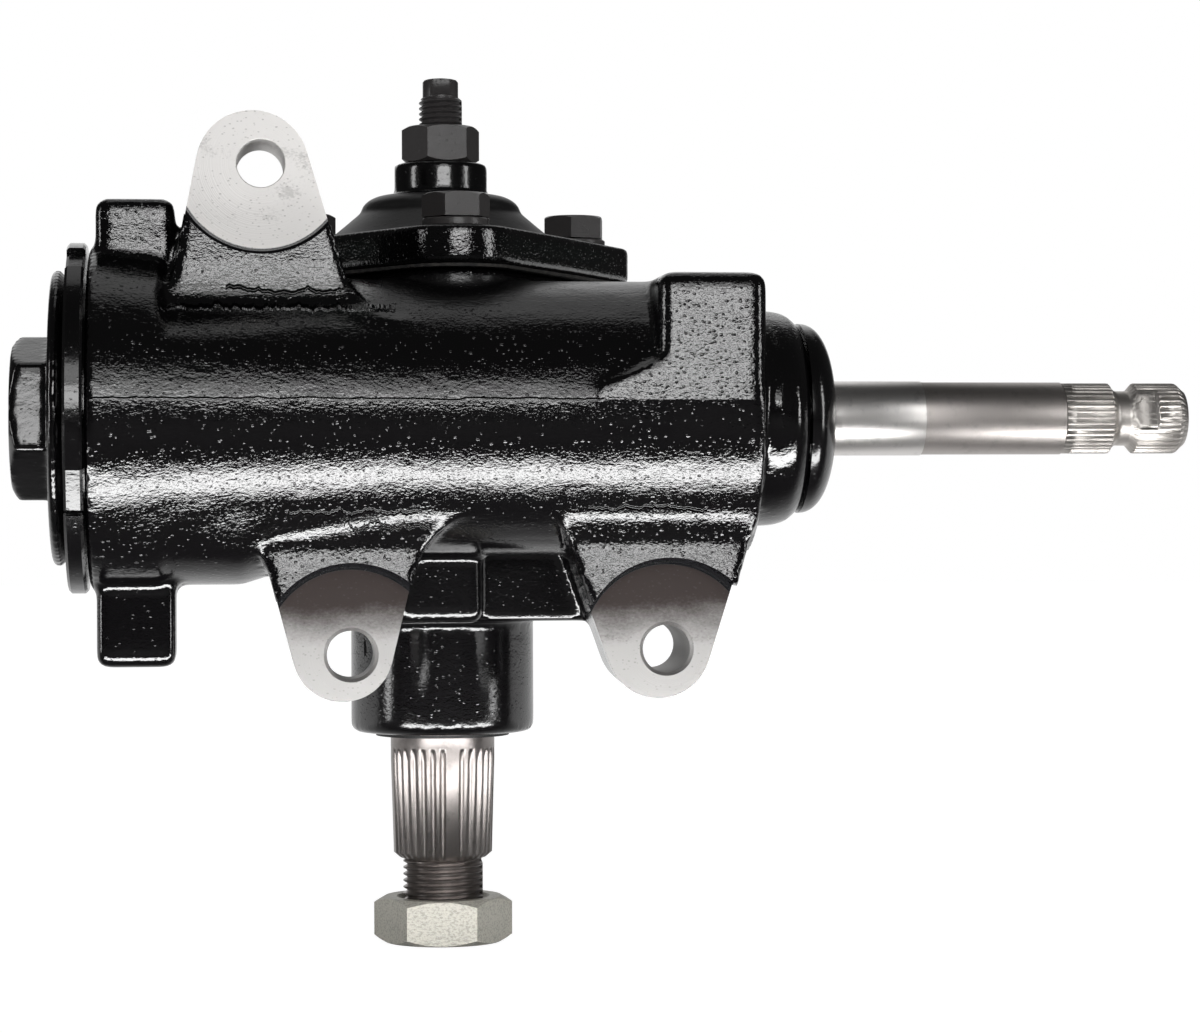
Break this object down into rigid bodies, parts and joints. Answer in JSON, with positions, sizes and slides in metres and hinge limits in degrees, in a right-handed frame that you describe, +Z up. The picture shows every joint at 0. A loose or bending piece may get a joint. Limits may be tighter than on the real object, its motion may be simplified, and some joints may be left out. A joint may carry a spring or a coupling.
{
  "type": "steering gearbox",
  "caption": "Recirculating ball steering gearbox with a splined steering shaft, a splined pitman shaft with nut, a bolted side cover and frame ears.",
  "frame": {"origin": "centre of the pitman shaft's lower end face", "axes": "+Z up along the pitman shaft, +X along the steering shaft towards its splined end, -Y out of the machined faces of the frame ears"},
  "size_m": [0.3142, 0.1309, 0.2403],
  "materials": {
    "cast_black_paint": "glossy black paint over rough sand-cast iron",
    "satin_black_paint": "satin black paint",
    "hardware_black": "black painted fasteners",
    "shaft_steel": "ground steel",
    "inner_steel": "hardened steel, oiled",
    "zinc_plate": "grainy zinc plate",
    "bushing_bronze": "turned bronze",
    "seal_rubber": "black seal rubber",
    "gasket_paper": "oiled gasket paper"
  },
  "bodies": {
    "housing": {"housing": "cast_black_paint", "side_cover": "satin_black_paint", "side_cover_gasket": "gasket_paper", "cover_bolt_front": "hardware_black", "cover_bolt_right": "hardware_black", "cover_bolt_left": "hardware_black", "cover_washer_front": "hardware_black", "cover_washer_right": "hardware_black", "cover_washer_left": "hardware_black", "lash_adjuster_screw": "hardware_black", "lash_adjuster_shim": "inner_steel", "lash_lock_nut": "hardware_black", "pitman_seal": "seal_rubber", "sector_bushing_lower": "bushing_bronze", "sector_bushing_upper": "bushing_bronze", "cover_bushing": "bushing_bronze", "thrust_bearing_cup": "inner_steel", "input_bearing_cup": "inner_steel", "bearing_retainer": "inner_steel", "adjuster_plug": "hardware_black", "adjuster_lock_ring": "hardware_black", "worm_seal": "seal_rubber"},
    "sector": {"sector_shaft": "shaft_steel", "pitman_nut": "zinc_plate"},
    "ball_nut": {"ball_nut": "inner_steel", "ball_train_left": "shaft_steel", "ball_train_right": "shaft_steel", "ball_guide_left": "inner_steel", "ball_guide_right": "inner_steel", "guide_clamp": "inner_steel", "guide_clamp_screw": "inner_steel"},
    "worm": {"wormshaft": "shaft_steel"},
    "thrust_bearing_balls": {"thrust_bearing_balls": "shaft_steel"},
    "input_bearing_balls": {"input_bearing_balls": "shaft_steel"}
  },
  "joints": [
    {"name": "sector_turn", "type": "hinge", "parent": "housing", "child": "sector", "pos_m": [0, 0, 0.1445], "axis": [0, 0, 1], "range_deg": [-42, 42]},
    {"name": "nut_slide", "type": "slide", "parent": "housing", "child": "ball_nut", "axis": [1, 0, 0], "range_m": [-0.01867, 0.01867]},
    {"name": "worm_turn", "type": "hinge", "parent": "housing", "child": "worm", "pos_m": [0, -0.045, 0.1445], "axis": [1, 0, 0], "range_deg": [-672, 672]},
    {"name": "thrust_bearing_turn", "type": "hinge", "parent": "housing", "child": "thrust_bearing_balls", "pos_m": [-0.0602, -0.045, 0.1445], "axis": [1, 0, 0], "range_deg": [-284.4, 284.4]},
    {"name": "input_bearing_turn", "type": "hinge", "parent": "housing", "child": "input_bearing_balls", "pos_m": [0.0602, -0.045, 0.1445], "axis": [1, 0, 0], "range_deg": [-284.4, 284.4]}
  ],
  "couplings": [
    {"joint": "nut_slide", "follows": "sector_turn", "m_per_rad": 0.025465},
    {"joint": "worm_turn", "follows": "sector_turn", "ratio": -16},
    {"joint": "thrust_bearing_turn", "follows": "sector_turn", "ratio": -6.7714},
    {"joint": "input_bearing_turn", "follows": "sector_turn", "ratio": -6.7714}
  ]
}
